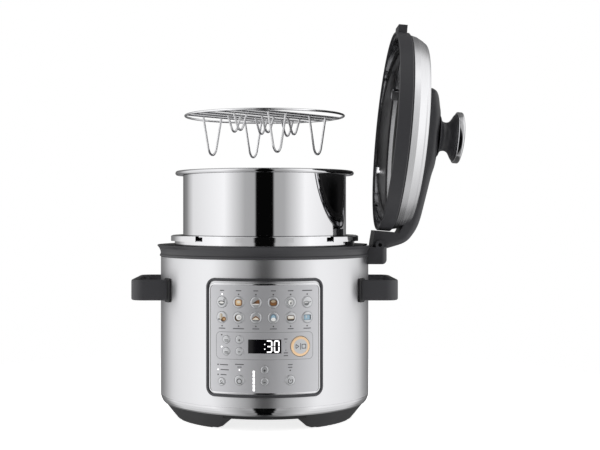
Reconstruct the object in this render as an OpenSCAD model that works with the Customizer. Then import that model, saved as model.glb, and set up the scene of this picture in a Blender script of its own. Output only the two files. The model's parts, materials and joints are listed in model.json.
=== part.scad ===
// Electric pressure cooker with a hinged lid on its right-hand side, a turning lock knob,
// a curved control panel, a loose pot and a wire rack.
// Frame: origin on the pot's axis at floor level, +Z up, the panel faces -Y, the hinge is at +X.

/* [Pot] */
// Outer radius of the pot's wall
pot_r = 112.5; // [105:0.5:135]
// Height of the pot from its base to the top of its rim
pot_h = 158.2; // [150:0.2:200]
// Thickness of the pot's wall
pot_wall = 0.9; // [0.7:0.1:1.5]
// Width of the curled rim outside the pot's wall
rim_w = 11; // [9:0.5:14]
// Height of the rim above the flange that it sits on
rim_h = 6.2; // [5:0.1:8]
// Height that the pot is raised with the lid open
pot_lift = 82; // [60:1:85]

/* [Wire rack] */
// Thickness of the rack's wire
wire_d = 3; // [2.4:0.1:4]
// Length of the rack's four long legs
leg_h = 53; // [30:1:60]
// Length of the rack's short loops
loop_h = 23; // [12:1:28]
// Height of the rack above its place in the pot with the lid open
rack_lift = 260; // [240:1:262]

/* [Housing] */
// Height of the heating plate above the floor
plate_z = 94.7; // [88:0.1:110]
// Thickness of the steel shell
shell_wall = 1; // [0.8:0.1:2]
// Height of the shell's lower edge above the floor
shell_bottom = 32; // [28:1:36]
// Height of the chrome ring under the shell
chrome_h = 11; // [8:0.5:14]
// Height of the feet below the base
foot_h = 15.5; // [12:0.5:20]
// Height of the collar from the shell to its lip
collar_h = 16.2; // [14:0.2:20]
// How far the collar's lip stands out from the shell
lip_flare = 5; // [3:0.5:7]

/* [Handles] */
// How far the handles stand out from the shell
handle_reach = 35.5; // [30:0.5:42]
// Height of a handle's band
handle_h = 27.5; // [20:0.5:32]
// Thickness of a handle's band
handle_t = 5.5; // [4:0.5:8]
// Distance between the outer faces of a handle's two arms
handle_w = 133; // [115:1:140]
// Height of the handles' middle above the floor
handle_z = 175; // [150:1:178]

/* [Panel] */
// Width of the panel's dark frame across its chord
panel_w = 149; // [140:1:160]
// Height of the panel's dark frame
panel_h = 150; // [145:1:160]
// Width of the frame around the faceplate
frame_w = 4; // [3:0.5:6]
// Distance between two preset buttons
preset_pitch = 21.8; // [18:0.1:23]
// Radius of a preset button
preset_r = 7.2; // [5:0.1:8.5]
// Radius of the start button
start_r = 12.9; // [10:0.1:14]
// Radius of a mode button
mode_r = 6.3; // [5:0.1:7]
// Radius of an arrow button
arrow_r = 5; // [4:0.1:5.6]
// How far a button travels
button_travel = 0.8; // [0.4:0.1:1]

/* [Lid] */
// Angle of the open lid from its closed place
lid_open = 95; // [90:1:100]
// Depth of the lid's dark ring
ring_h = 18; // [14:0.5:20]
// Height of the lid's steel cover above the ring
cover_h = 35.3; // [32:0.1:40]
// Width of the arm that carries the lid
arm_w = 56; // [40:1:62]
// Radius of the knob's chrome cap
cap_r = 35.5; // [30:0.5:38]
// Radius of the knob's neck
neck_r = 19.8; // [14:0.2:22]
// Turn of the knob from open to locked
lock_turn = 30; // [20:1:30]
// Number of lugs on the lock ring
lugs = 6; // [4:1:6]

/* [Clearances] */
// Gap between faces that never touch
gap = 0.3; // [0.2:0.05:0.5]
// Gap around a turning pin or shaft
pin_gap = 0.06; // [0.02:0.01:0.1]

/* [Hidden] */
$fn = 128;
small_fn = 48;

// Radii from the pot outwards
rim_r = pot_r + rim_w;
flange_r = rim_r + 7.1;
lock_r = flange_r + 1.6;
lock_wall = 1.5;
ring_in = lock_r + lock_wall + gap;
ring_r = ring_in + 3;
body_r = ring_r + 6;
well_r = pot_r + 3.5;
well_wall = 1.2;
moat_neck_r = pot_r + 10.2;
shell_in = body_r - shell_wall;

// Heights from the heating plate upwards
plate_gap = 0.3;
pot_bottom = plate_z + plate_gap;
rim_top = pot_bottom + pot_h;
flange_top = rim_top - rim_h;
seam_z = flange_top + 2;
lip_z = seam_z - 14.8;
shell_top = lip_z - collar_h;
moat_z = lip_z - 12;
chrome_bottom = shell_bottom - chrome_h;

// Hinge
hinge_x = body_r + 13.5;
hinge_z = seam_z - 15;
pin_r = 2.5;
barrel_r = 6.2;
cheek_t = 6.5;
bracket_x = body_r + 23;
bracket_z = hinge_z - 26;

// Lid
lip_t = 1.4;
tab_z = lip_z + 0.8;
tab_w = 38;
tab_h = 12;
tab_t = 3;
tab_reach = 9.5;
cover_z = seam_z + lip_t + 0.6;
cover_r = ring_r - 3;
cover_wall = 1.2;
cover_top = seam_z + cover_h;
shoulder_r = cover_r - 9.5;
shoulder_z = seam_z + 22.1;
seal_z = seam_z + 7.6;
seal_h = 2.8;
inner_plate_z = seal_z + seal_h;
inner_plate_t = 1.2;
inner_plate_r = rim_r + 1.9;
spoke_z = inner_plate_z + inner_plate_t + 1;
spoke_t = 1.6;
spoke_w = 14;
spokes = 4;
spoke_turn = 30;
shaft_r = 6;
lug_z = seam_z - 15;
lug_h = 5;
lug_in = flange_r - 2;
notch_r = flange_r - 3.2;
lug_arc = 20;
notch_arc = 27;
indicator_x = -83;
indicator_r = 6;
indicator_travel = 3;
valve_x = 24;
valve_y = 80;
valve_r = 9;
valve_stem_r = 3.5;
valve_travel = 2.5;
arm_top = seam_z + 54;
stem_z = arm_top + 0.4;

// Base
skirt_r = body_r - 5;
base_r = body_r - 12;
foot_r = body_r - 21;
pad_w = 8;
pad_edge = 9;
screw_at = 68;
foot_arc = [30, 70];
pad_h = 2;

// Sensor in the middle of the heating plate
sensor_r = 9;
sensor_travel = 3;
element_r = 84;
bracket_drop = 23;

// Panel, with places given from the middle of the panel
panel_z = shell_bottom + 88;
face_in = body_r + 0.15;
face_out = face_in + 1.25;
bezel_out = face_in + 2;
face_w = panel_w - 2 * frame_w;
face_h = panel_h - 2 * frame_w - 2.4;
face_drop = 1.2;
window_w = face_w - 9;
window_h = face_h - 6;
carrier_in = body_r - 7;
carrier_out = carrier_in + 1.4;
switch_top = carrier_out + 1;
button_gap = 0.25;
flange_w = 1.1;
flange_most = 13.5;
cap_top = 0.8;
display_x = 0.2;
display_z = -10.2;
display_w = 41.6;
display_h = 17.4;
board_y = -(body_r - 20.4);
board_w = 108;
board_h = 126;

function arc_deg(mm) = mm / body_r * 180 / PI;
function cols() = [for (i = [-2.5:1:2.5]) i * preset_pitch];
preset_rows = [45, 25.8];
// Each button: name, distance along the panel's curve, height from the panel's middle, radius
BUTTONS = concat(
    [for (row = [0, 1]) for (i = [0:5])
        [str("preset_button_", row * 6 + i + 1), cols()[i], preset_rows[row], preset_r]],
    [
        ["start_button", 45.4, -10.6, start_r],
        ["plus_button", -31.6, -1.8, arrow_r],
        ["minus_button", -31.6, -16.5, arrow_r],
        ["warm_button", -48.7, -2, arrow_r],
        ["delay_button", -48.7, -17, arrow_r],
        ["release_button", -54.9, -55.5, arrow_r],
        ["pressure_button", -31.6, -52.8, mode_r],
        ["up_button", 0, -39.4, arrow_r],
        ["down_button", 0, -54.4, arrow_r],
        ["light_button", 32.2, -52.8, mode_r],
    ]);
// Round lamps beside the buttons: distance along the curve, height
LAMPS = concat(
    [for (x = cols()) [x, 54.9]],
    [for (x = cols()) [x, 15]],
    [[-55, 3.6], [-55, -11.4], [-31.6, -40], [32.2, -40.5]],
    [for (i = [0:2]) [-60, -34.1 - 6.3 * i]]);
lamp_r = 0.9;
bar_x = -13.5;
bar_z = -42.4;
bar_pitch = 4.4;
bar_w = 2.6;
bar_h = 3.4;

// Sockets and cup at the back
inlet_w = 32;
inlet_h = 25;
inlet_z = 74;
inlet_depth = 15;
cup_w = 51;
cup_h = 26;
cup_d = 22;
cup_wall = 1.6;
cup_rim = 4.5;
cup_z = shell_top - 7;
rail_t = 2;

// ---- shared shapes ----

module ring(r_in, r_out, z0, z1) {
    difference() {
        translate([0, 0, z0]) cylinder(r = r_out, h = z1 - z0);
        translate([0, 0, z0 - 1]) cylinder(r = r_in, h = z1 - z0 + 2);
    }
}

module rounded(w, h, r) {
    square([w - 2 * r, h], center = true);
    square([w, h - 2 * r], center = true);
    for (x = [-1, 1], y = [-1, 1])
        translate([x * (w / 2 - r), y * (h / 2 - r)]) circle(r = r, $fn = small_fn);
}

// A slab that follows the shell's curve, w wide across its chord
module curved_slab(r_in, r_out, w, h, corner, z) {
    intersection() {
        ring(r_in, r_out, z - h, z + h);
        translate([0, 0, z]) rotate([90, 0, 0]) linear_extrude(r_out + 5) rounded(w, h, corner);
    }
}

// Places its children on the panel, with +Z pointing straight out of the shell
module on_panel(x, z) {
    rotate([0, 0, arc_deg(x)]) translate([0, 0, panel_z + z]) rotate([90, 0, 0]) children();
}

// A ring sector between two angles from the front, drawn from a profile
module sector(from, to) {
    rotate([0, 0, from - 90]) rotate_extrude(angle = to - from) children();
}

module rod(a, b, r) hull() for (p = [a, b]) translate(p) sphere(r = r, $fn = 8);

// Turns its children with the lid, from closed to open
module opened() {
    translate([hinge_x, 0, hinge_z]) rotate([0, lid_open, 0])
        translate([-hinge_x, 0, -hinge_z]) children();
}

// ---- housing ----

module outer_shell() color("silver") difference() {
    ring(shell_in, body_r, shell_bottom, shell_top);
    translate([0, 0, panel_z - face_drop]) rotate([90, 0, 0])
        linear_extrude(body_r + 5) rounded(window_w, window_h, 5);
    translate([-inlet_w / 2 - gap, 0, inlet_z - inlet_h / 2 - gap])
        cube([inlet_w + 2 * gap, body_r + 5, inlet_h + 2 * gap]);
}

module chrome_base_ring() color("gainsboro") rotate_extrude() polygon([
    [body_r - 3, shell_bottom - 0.1], [body_r, shell_bottom - 0.1],
    [body_r - 0.3, shell_bottom - 3], [body_r - 1.2, shell_bottom - 6],
    [body_r - 2.6, shell_bottom - 9], [skirt_r + 0.6, chrome_bottom],
    [skirt_r - 2, chrome_bottom], [skirt_r - 2, chrome_bottom + 2]]);

module foot() {
    difference() {
        sector(foot_arc[0] - 7, foot_arc[1] + 7) polygon([
            [foot_r - 12, 1], [foot_r, 1], [skirt_r - 0.9, chrome_bottom - 0.3],
            [skirt_r - 4, chrome_bottom - 0.3], [base_r - 3, foot_h + 0.2],
            [foot_r - 21, foot_h + 0.2]]);
        // both ends slope outwards from the floor
        for (e = [0, 1])
            rotate([0, 0, foot_arc[e]]) translate([0, -foot_r, 0])
                rotate([0, e == 0 ? -45 : 45, 0])
                translate([e == 0 ? -60 : 0, -60, -40]) cube([60, 120, 90]);
        sector(foot_arc[0] + 4, foot_arc[1] - 4) translate([foot_r - pad_edge - gap / 2, 0])
            square([pad_w + gap, pad_h]);
    }
}

module base_tub() color("dimgray") {
    difference() {
        union() {
            rotate_extrude() polygon([
                [0, foot_h], [base_r, foot_h], [skirt_r - 0.8, chrome_bottom - 0.2],
                [skirt_r - 2.3, chrome_bottom - 0.2], [skirt_r - 2.3, shell_bottom + 4],
                [skirt_r - 5, shell_bottom + 4], [skirt_r - 5, foot_h + 3], [0, foot_h + 3]]);
            for (m = [0, 1], n = [0, 1]) mirror([m, 0, 0]) mirror([0, n, 0]) foot();
            for (x = [-1, 1], y = [-1, 1]) translate([x * screw_at, y * screw_at, foot_h + 3])
                cylinder(r = 6, h = 14, $fn = small_fn);
        }
        for (x = [-5:5]) translate([x * 9 - 2, -24, foot_h - 1]) cube([4, 48, 5]);
        for (x = [-1, 1], y = [-1, 1]) translate([x * screw_at, y * screw_at, foot_h - 1])
            cylinder(r = 2, h = 17, $fn = small_fn);
    }
}

module foot_pads() color("black")
    for (m = [0, 1], n = [0, 1]) mirror([m, 0, 0]) mirror([0, n, 0])
        sector(foot_arc[0] + 4.2, foot_arc[1] - 4.2) translate([foot_r - pad_edge, 0])
            square([pad_w, pad_h - 0.05]);

module base_screws() color("gray")
    for (x = [-1, 1], y = [-1, 1]) translate([x * screw_at, y * screw_at, foot_h - 2.2]) {
        cylinder(r = 3.6, h = 2.1, $fn = small_fn);
        cylinder(r = 1.95, h = 15, $fn = small_fn);
    }

module collar_profile() polygon([
    [body_r - 3.6, shell_top - 8], [shell_in - gap, shell_top - 8], [shell_in - gap, shell_top],
    [body_r, shell_top + 0.1], [body_r + 1.3, shell_top + 1], [body_r + 1.3, shell_top + 3.2],
    [body_r + 0.2, shell_top + 4.2], [body_r + 0.6, shell_top + 8],
    [body_r + 2, shell_top + 11.5], [body_r + lip_flare - 0.6, lip_z - 1.6],
    [body_r + lip_flare, lip_z - 0.7], [body_r + lip_flare - 0.7, lip_z],
    [body_r + 0.6, lip_z - 0.6], [body_r - 1.6, lip_z - 3], [body_r - 2, moat_z + 1.8],
    [moat_neck_r + 1.6, moat_z + 1.8], [moat_neck_r + 1.6, moat_z],
    [body_r - 3.6, moat_z]]);

module bracket() {
    intersection() {
        translate([0, 0, bracket_z - 1]) linear_extrude(60) union() {
            translate([body_r - 6, -arm_w / 2 - cheek_t]) square([16, arm_w + 2 * cheek_t]);
            translate([body_r + 4, 0]) rounded(2 * (bracket_x - body_r - 4),
                arm_w + 2 * cheek_t, 7);
        }
        translate([0, arm_w, 0]) rotate([90, 0, 0]) linear_extrude(2 * arm_w) union() {
            translate([body_r - 6, bracket_z]) square([bracket_x - body_r - 1, 23]);
            translate([body_r - 6, bracket_z + 7]) square([bracket_x - body_r + 6, 16]);
            translate([bracket_x - 7, bracket_z + 7]) circle(r = 7, $fn = small_fn);
        }
    }
    translate([hinge_x, 0, hinge_z]) rotate([90, 0, 0])
        cylinder(r = barrel_r, h = arm_w + 2 * cheek_t, center = true, $fn = small_fn);
}

// Shelf and rails at the back that carry the condensation cup
module cup_rails() {
    difference() {
        translate([-cup_w / 2 - cup_rim - 3, body_r - 12, cup_z - rail_t - 3.6])
            cube([cup_w + 2 * cup_rim + 6, cup_d + 13, rail_t + 12.5]);
        translate([-cup_w / 2 - cup_rim - gap, body_r - 20, cup_z - 3 - gap])
            cube([cup_w + 2 * cup_rim + 2 * gap, cup_d + 50, 3 + 2 * gap]);
        translate([-cup_w / 2 - 1.2, body_r - 20, cup_z - 20])
            cube([cup_w + 2.4, cup_d + 50, 19]);
        translate([0, 0, cup_z - 30]) cylinder(r = body_r + gap, h = shell_top - cup_z + 30.1);
        translate([0, 0, cup_z - 30]) cylinder(r = body_r - 2, h = 60);
    }
}

module collar() color("dimgray") difference() {
    union() {
        rotate_extrude() collar_profile();
        difference() {
            bracket();
            translate([0, 0, bracket_z - 2]) cylinder(r = body_r + 0.1, h = shell_top - bracket_z + 2);
            translate([0, 0, shell_top]) cylinder(r = body_r - 1.9, h = 40);
        }
        cup_rails();
    }
    // room for the arm's end, above the shell's edge
    translate([ring_r + 0.2, -arm_w / 2 - gap - 0.2, moat_z - 1.7])
        cube([bracket_x - ring_r + 20, arm_w + 2 * gap + 0.4, 60]);
    translate([hinge_x, 0, hinge_z]) rotate([90, 0, 0])
        cylinder(r = pin_r + 0.02, h = 2 * arm_w, center = true, $fn = small_fn);
}

module hinge_pin() color("gray") translate([hinge_x, 0, hinge_z]) rotate([90, 0, 0])
    cylinder(r = pin_r, h = arm_w + 2 * cheek_t + 0.4, center = true, $fn = small_fn);

module pot_well() color("lightgray") rotate_extrude() polygon([
    [well_r - 18, plate_z - 10.6], [well_r + well_wall, plate_z - 10.6],
    [well_r + well_wall, moat_z - 1.6], [body_r - 8, moat_z - 1.6], [body_r - 8, moat_z - 0.4],
    [well_r, moat_z - 0.4], [well_r, plate_z - 9.4], [well_r - 18, plate_z - 9.4]]);

module locking_flange() color("silver") difference() {
    rotate_extrude() polygon([
        [well_r + 1.5, flange_top - 1.4], [well_r + 1.5, flange_top], [flange_r - 1, flange_top],
        [flange_r - 0.3, flange_top - 0.3], [flange_r, flange_top - 1],
        [flange_r, flange_top - 7.4], [flange_r - 1.4, flange_top - 7.4],
        [flange_r - 1.4, flange_top - 1.4], [moat_neck_r + 1.3, flange_top - 1.4],
        [moat_neck_r + 1.3, moat_z + 3.2], [moat_neck_r + 9, moat_z + 3.2],
        [moat_neck_r + 9, moat_z + 2], [moat_neck_r, moat_z + 2],
        [moat_neck_r, flange_top - 1.4]]);
    for (i = [0:lugs - 1]) rotate([0, 0, i * 360 / lugs - notch_arc / 2])
        rotate_extrude(angle = notch_arc) translate([notch_r, flange_top - 9])
            square([10, 12]);
}

module heating_plate() color("silver") {
    difference() {
        rotate_extrude() polygon([
            [sensor_r + 0.4, plate_z - 9.2], [well_r - 13, plate_z - 9.2],
            [well_r - 12, plate_z - 8], [well_r - 12, plate_z - 1.4],
            [well_r - 13.4, plate_z], [sensor_r + 0.4, plate_z]]);
        // groove under the plate that holds the heating element
        ring(element_r - 5, element_r + 5, plate_z - 12, plate_z - 5);
    }
    // steel strap under the sensor
    for (x = [-20, 17]) translate([x, -8, plate_z - 9.2 - bracket_drop])
        cube([3, 16, bracket_drop + 0.5]);
    translate([-20, -8, plate_z - 9.2 - bracket_drop]) cube([40, 16, 2]);
}

module heating_element() color("darkgray") {
    rotate_extrude() translate([element_r, plate_z - 9.6]) circle(r = 4.3, $fn = small_fn);
    for (a = [80, 100]) rotate([0, 0, a]) translate([element_r, 0, plate_z - 24])
        cylinder(r = 3, h = 12, $fn = small_fn);
}

module sensor_plunger() color("silver") translate([0, 0, plate_z + 3.1]) {
    translate([0, 0, -13]) cylinder(r = sensor_r, h = 13);
    translate([0, 0, -15]) cylinder(r = sensor_r + 2.2, h = 2.1);
}

// A round tube along a path of points that climbs round the +Z axis
module coil(r, wire, z0, z1, turns) {
    steps = turns * 16;
    sides = 8;
    points = [for (i = [0:steps]) let (a = i * 360 / 16, z = z0 + (z1 - z0) * i / steps)
        for (k = [0:sides - 1]) let (b = k * 360 / sides, d = r + wire * cos(b))
        [d * cos(a), d * sin(a), z + wire * sin(b)]];
    faces = concat(
        [[for (k = [0:sides - 1]) k]],
        [[for (k = [sides - 1:-1:0]) steps * sides + k]],
        [for (i = [0:steps - 1]) for (k = [0:sides - 1]) let (n = (k + 1) % sides)
            [i * sides + k, (i + 1) * sides + k, (i + 1) * sides + n, i * sides + n]]);
    polyhedron(points, faces);
}

module sensor_spring() color("silver") coil(7, 0.7, plate_z - 9.2 - bracket_drop + 2.8,
    plate_z + 3.1 - 15.8, 5);

// ---- handles ----

module handle() {
    difference() {
        union() {
            translate([0, 0, handle_z - handle_h / 2]) linear_extrude(handle_h) difference() {
                rounded(2 * (body_r + handle_reach), handle_w, 17);
                rounded(2 * (body_r + handle_reach - handle_t), handle_w - 2 * handle_t, 12);
            }
            // end plates that follow the shell
            for (s = [-1, 1]) intersection() {
                ring(body_r + 0.1, body_r + 2.6, handle_z - 16, handle_z + 16);
                translate([body_r - 30, s * (handle_w / 2 - 7) - 11, handle_z - 16])
                    cube([40, 22, 32]);
            }
        }
        cylinder(r = body_r + 0.1, h = 400);
        translate([-400, -200, 0]) cube([400, 400, 400]);
    }
}

module handle_right() color("dimgray") handle();
module handle_left() color("dimgray") mirror([1, 0, 0]) handle();

// ---- panel ----

module panel_frame() color("dimgray") difference() {
    curved_slab(face_in, bezel_out, panel_w, panel_h, 12, panel_z);
    translate([0, 0, panel_z - face_drop]) rotate([90, 0, 0])
        linear_extrude(bezel_out + 6) rounded(face_w + 2 * gap, face_h + 2 * gap, 8.3);
}

module faceplate() color("silver") difference() {
    curved_slab(face_in, face_out, face_w, face_h, 8, panel_z - face_drop);
    for (b = BUTTONS) on_panel(b[1], b[2]) translate([0, 0, face_in - 3])
        cylinder(r = b[3] + button_gap, h = 6);
    for (l = LAMPS) on_panel(l[0], l[1]) translate([0, 0, face_in - 1])
        cylinder(r = lamp_r + 0.05, h = 4, $fn = 24);
    on_panel(display_x, display_z)
        translate([-display_w / 2 - 0.1, -display_h / 2 - 0.1, face_in - 5])
        cube([display_w + 0.2, display_h + 0.2, 8]);
    for (i = [0:5]) on_panel(bar_x, bar_z - i * bar_pitch)
        translate([-bar_w / 2 - 0.05, -bar_h / 2 - 0.05, face_in - 1])
        cube([bar_w + 0.1, bar_h + 0.1, 4]);
}

module button(b) color(b[0] == "start_button" ? "navajowhite" : "gainsboro")
    on_panel(b[1], b[2]) {
        translate([0, 0, switch_top + 1 + 2])
            cylinder(r = min(b[3] + flange_w, flange_most), h = 1.1);
        translate([0, 0, switch_top + 1]) cylinder(r = 2.4, h = 2.5, $fn = small_fn);
        translate([0, 0, switch_top + 1 + 3]) cylinder(r = b[3], h = face_out - switch_top - 3.7);
        translate([0, 0, face_out + 0.3])
            cylinder(r1 = b[3], r2 = b[3] * cap_top, h = 0.6);
    }

module display() color("black") {
    intersection() {
        ring(body_r - 3, face_out - 0.1, panel_z - 60, panel_z + 60);
        on_panel(display_x, display_z) translate([-display_w / 2, -display_h / 2, 0])
            cube([display_w, display_h, bezel_out]);
    }
    on_panel(display_x, display_z) translate([-display_w / 2 - 2, -display_h / 2 - 1,
        carrier_out + 0.4]) cube([display_w + 4, display_h + 2, body_r - 2 - carrier_out - 0.4]);
}

module panel_lamps() color("white") {
    for (l = LAMPS) on_panel(l[0], l[1]) translate([0, 0, carrier_out + 0.2])
        cylinder(r = lamp_r, h = face_out - carrier_out, $fn = 24);
    for (i = [0:5]) on_panel(bar_x, bar_z - i * bar_pitch)
        translate([-bar_w / 2, -bar_h / 2, carrier_out + 0.2])
        cube([bar_w, bar_h, face_out - carrier_out]);
}

module switch_carrier() color("darkgreen") {
    curved_slab(carrier_in, carrier_out, 2 * carrier_in * sin(30.5), window_h - 4, 3,
        panel_z - face_drop);
    for (b = BUTTONS) on_panel(b[1], b[2]) translate([0, 0, carrier_out - 0.3])
        cylinder(r = 3, h = switch_top - carrier_out + 0.3, $fn = small_fn);
    for (x = [-1, 1], z = [-1, 1])
        on_panel(x * 71.6, z * (window_h / 2 - 6)) translate([0, 0, carrier_out - 0.3])
        cylinder(r = 2, h = shell_in - carrier_out + 0.2, $fn = small_fn);
}

module control_board() color("green") {
    translate([-board_w / 2, board_y, panel_z - face_drop - board_h / 2])
        cube([board_w, 1.6, board_h]);
    for (x = [-1, 1], z = [-1, 1])
        translate([x * 44, board_y + 0.5, panel_z - face_drop + z * (board_h / 2 - 6)])
        rotate([90, 0, 0])
        cylinder(r = 2.5, h = sqrt(pow(carrier_in, 2) - pow(46.5, 2)) + board_y + 0.3,
            $fn = small_fn);
    for (c = [[-48, 40, 22, 14], [26, 30, 14, 14], [30, -30, 18, 10], [-46, -20, 12, 26]])
        translate([c[0], board_y + 1.4, panel_z + c[1]]) cube([c[2], 2.4, c[3]]);
}

module power_board() color("darkgreen") {
    z = foot_h + 3 + 14;
    translate([-62, -50, z]) cube([124, 100, 1.6]);
    for (x = [-1, 1], y = [-1, 1])
        translate([x * 55, y * 42, foot_h + 3.05]) cylinder(r = 3, h = 14.5, $fn = small_fn);
    translate([-40, -30, z + 1.5]) cube([26, 20, 20]);
    translate([10, -36, z + 1.5]) cube([18, 28, 16]);
    translate([-30, 20, z + 1.5]) cylinder(r = 9, h = 22, $fn = small_fn);
    translate([28, 16, z + 1.5]) cube([20, 16, 15]);
}

module inlet_socket() color("dimgray") translate([0, 0, inlet_z]) {
    difference() {
        union() {
            translate([-inlet_w / 2, body_r - 20, -inlet_h / 2]) cube([inlet_w, 21.5, inlet_h]);
            translate([-inlet_w / 2 - 4, body_r + 0.1, -inlet_h / 2 - 3])
                cube([inlet_w + 8, 2.2, inlet_h + 6]);
        }
        translate([-12, body_r + 2.3 - inlet_depth, -8.5]) cube([24, inlet_depth + 1, 17]);
    }
    for (p = [[-7, -1], [7, -1], [0, 3]])
        translate([p[0] - 2, body_r + 2 - inlet_depth - 0.5, p[1] - 1])
        cube([4, 10, 2]);
}

module condensation_cup() color("silver") difference() {
    union() {
        translate([-cup_w / 2, body_r + 1.2, cup_z - cup_h]) cube([cup_w, cup_d, cup_h]);
        translate([-cup_w / 2 - cup_rim, body_r + 1.2, cup_z - 3])
            cube([cup_w + 2 * cup_rim, cup_d, 3]);
        translate([-cup_w / 2 - cup_rim, body_r + cup_d + 1.2, cup_z - cup_h])
            cube([cup_w + 2 * cup_rim, cup_wall, cup_h]);
    }
    translate([-cup_w / 2 + cup_wall, body_r + 1.2 + cup_wall, cup_z - cup_h + cup_wall])
        cube([cup_w - 2 * cup_wall, cup_d - 2 * cup_wall, cup_h]);
}

// ---- lid, drawn closed ----

// Outline of the lid's cover from its lower edge over the shoulder to the middle
module cover_outline(grow) {
    dome = shoulder_z + 4.4;
    polygon(concat(
        [[0, cover_z - 1], [cover_r + grow, cover_z - 1], [cover_r + grow, cover_z],
            [cover_r - 1.8 + grow, cover_z + 8], [shoulder_r + 2.8 + grow, shoulder_z - 3]],
        [for (a = [10:16:58]) [shoulder_r - 6 + (8 + grow) * cos(a),
            shoulder_z - 4.4 + (8 + grow) * sin(a)]],
        [for (t = [0.82, 0.64, 0.46, 0.28, 0])
            [shoulder_r * t, cover_top + grow - (cover_top - dome + 3.2) * t * t]]));
}

module lid_cover() color("silver") opened() difference() {
    rotate_extrude() difference() {
        cover_outline(0);
        translate([-1, 0]) square([cover_r * 2, cover_z]);
    }
    rotate_extrude() translate([0, -cover_wall]) difference() {
        cover_outline(-cover_wall);
        translate([-1, 0]) square([cover_r * 2, cover_z - 5]);
    }
    cylinder(r = shaft_r + 0.8, h = 500);
    translate([indicator_x, 0, 0]) cylinder(r = indicator_r + pin_gap, h = 500);
    translate([valve_x, valve_y, 0]) cylinder(r = valve_stem_r + pin_gap, h = 500, $fn = small_fn);
}

module lid_ring() color("dimgray") opened() {
    rotate_extrude() polygon([
        [ring_in, seam_z - ring_h], [ring_r - 0.8, seam_z - ring_h],
        [ring_r, seam_z - ring_h + 0.8], [ring_r, seam_z - 0.8], [ring_r - 0.8, seam_z],
        [cover_r - 0.4, seam_z + 0.5], [cover_r - 0.4, cover_z - 0.1],
        [cover_r - 5, cover_z - 0.1], [cover_r - 5, seam_z + 0.5], [ring_in, seam_z + 0.5]]);
    // finger tab opposite the hinge
    translate([-ring_r - tab_reach, -tab_w / 2, tab_z]) cube([tab_reach + 1, tab_w, tab_t]);
    translate([-ring_r - tab_reach, -tab_w / 2, tab_z]) cube([tab_t, tab_w, tab_h]);
    for (s = [-1, 1]) translate([-ring_r - tab_reach, s * (tab_w - tab_t) / 2 - tab_t / 2, tab_z])
        cube([tab_reach + 1, tab_t, tab_h]);
}

// Side view of the arm: over the cover, round the edge and down to the hinge
module arm_outline() polygon([
    [-63.7, arm_top - 22], [-63.2, arm_top - 12], [-60.5, arm_top - 7.5],
    [-55.3, arm_top - 5.1], [-38, arm_top - 2.2], [-22, arm_top], [33, arm_top - 1.7],
    [54, arm_top - 6], [91, arm_top - 12], [ring_r - 20.5, seam_z + 38], [ring_r - 8, seam_z + 34.6],
    [ring_r + 1, seam_z + 30], [ring_r + 8, seam_z + 25], [ring_r + 13, seam_z + 19],
    [ring_r + 18.4, seam_z + 8.2], [ring_r + 24, seam_z - 6], [ring_r + 26.4, seam_z - 20],
    [ring_r + 26.4, seam_z - 26], [ring_r + 25, seam_z - 26.6],
    [ring_r + 0.6, seam_z - 23.5], [ring_r + 0.6, seam_z + 12], [ring_r - 8, seam_z + 16],
    [0, seam_z + 16]]);

module lid_arm() color("dimgray") opened() difference() {
    union() {
        translate([0, arm_w / 2, 0]) rotate([90, 0, 0]) linear_extrude(arm_w) arm_outline();
        translate([hinge_x, 0, hinge_z]) rotate([90, 0, 0])
            cylinder(r = barrel_r, h = arm_w, center = true, $fn = small_fn);
    }
    rotate_extrude() cover_outline(0.2);
    cylinder(r = ring_r + 0.4, h = cover_z);
    cylinder(r = shaft_r + pin_gap, h = 500);
    translate([hinge_x, 0, hinge_z]) rotate([90, 0, 0])
        cylinder(r = pin_r + pin_gap, h = 2 * arm_w, center = true, $fn = small_fn);
}

module pressure_plate() color("silver") opened() difference() {
    rotate_extrude() polygon([
        [0, inner_plate_z], [inner_plate_r, inner_plate_z],
        [inner_plate_r, inner_plate_z + inner_plate_t], [0, inner_plate_z + inner_plate_t]]);
    translate([indicator_x, 0, 0]) cylinder(r = 3 + pin_gap, h = 500, $fn = small_fn);
    translate([valve_x, valve_y, 0]) cylinder(r = valve_stem_r + pin_gap, h = 500, $fn = small_fn);
}

module lid_gasket() color("darkgray") opened() rotate_extrude() polygon([
    [rim_r - 9, inner_plate_z - 0.05], [rim_r - 9, inner_plate_z - 1.2],
    [rim_r - 4, inner_plate_z - 1.4], [rim_r - 2.4, seal_z], [inner_plate_r - 0.3, seal_z],
    [inner_plate_r, seal_z + 0.8], [inner_plate_r, inner_plate_z - 0.05]]);

// Height of the cover's underside at a radius from the lid's axis
function cover_under(r) = cover_top - 2 * cover_wall
    - (cover_top - shoulder_z - 1.2) * pow(r / shoulder_r, 2);

module lid_posts() color("gray") opened() {
    post_x = 70;
    post_r = 3.5;
    foot_z = inner_plate_z + inner_plate_t;
    for (a = [5:90:275]) rotate([0, 0, a]) translate([post_x, 0, foot_z])
        cylinder(r = post_r, h = cover_under(post_x + post_r) - gap - foot_z, $fn = small_fn);
}

// ---- knob and lock ----

module knob_stem() color("dimgray") opened() {
    rotate_extrude() polygon([
        [0, stem_z], [neck_r + 9, stem_z], [neck_r + 8.6, stem_z + 1.2],
        [neck_r + 4, stem_z + 2.6], [neck_r + 1.2, stem_z + 4.6], [neck_r, stem_z + 7.5],
        [neck_r, stem_z + 12], [neck_r + 1.4, stem_z + 14.6], [neck_r + 5.5, stem_z + 18],
        [cap_r - 5, stem_z + 21], [cap_r - 2, stem_z + 23.2], [0, stem_z + 23.2]]);
    translate([0, 0, spoke_z + spoke_t + 3]) cylinder(r = shaft_r, h = stem_z - spoke_z - 2);
}

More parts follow.
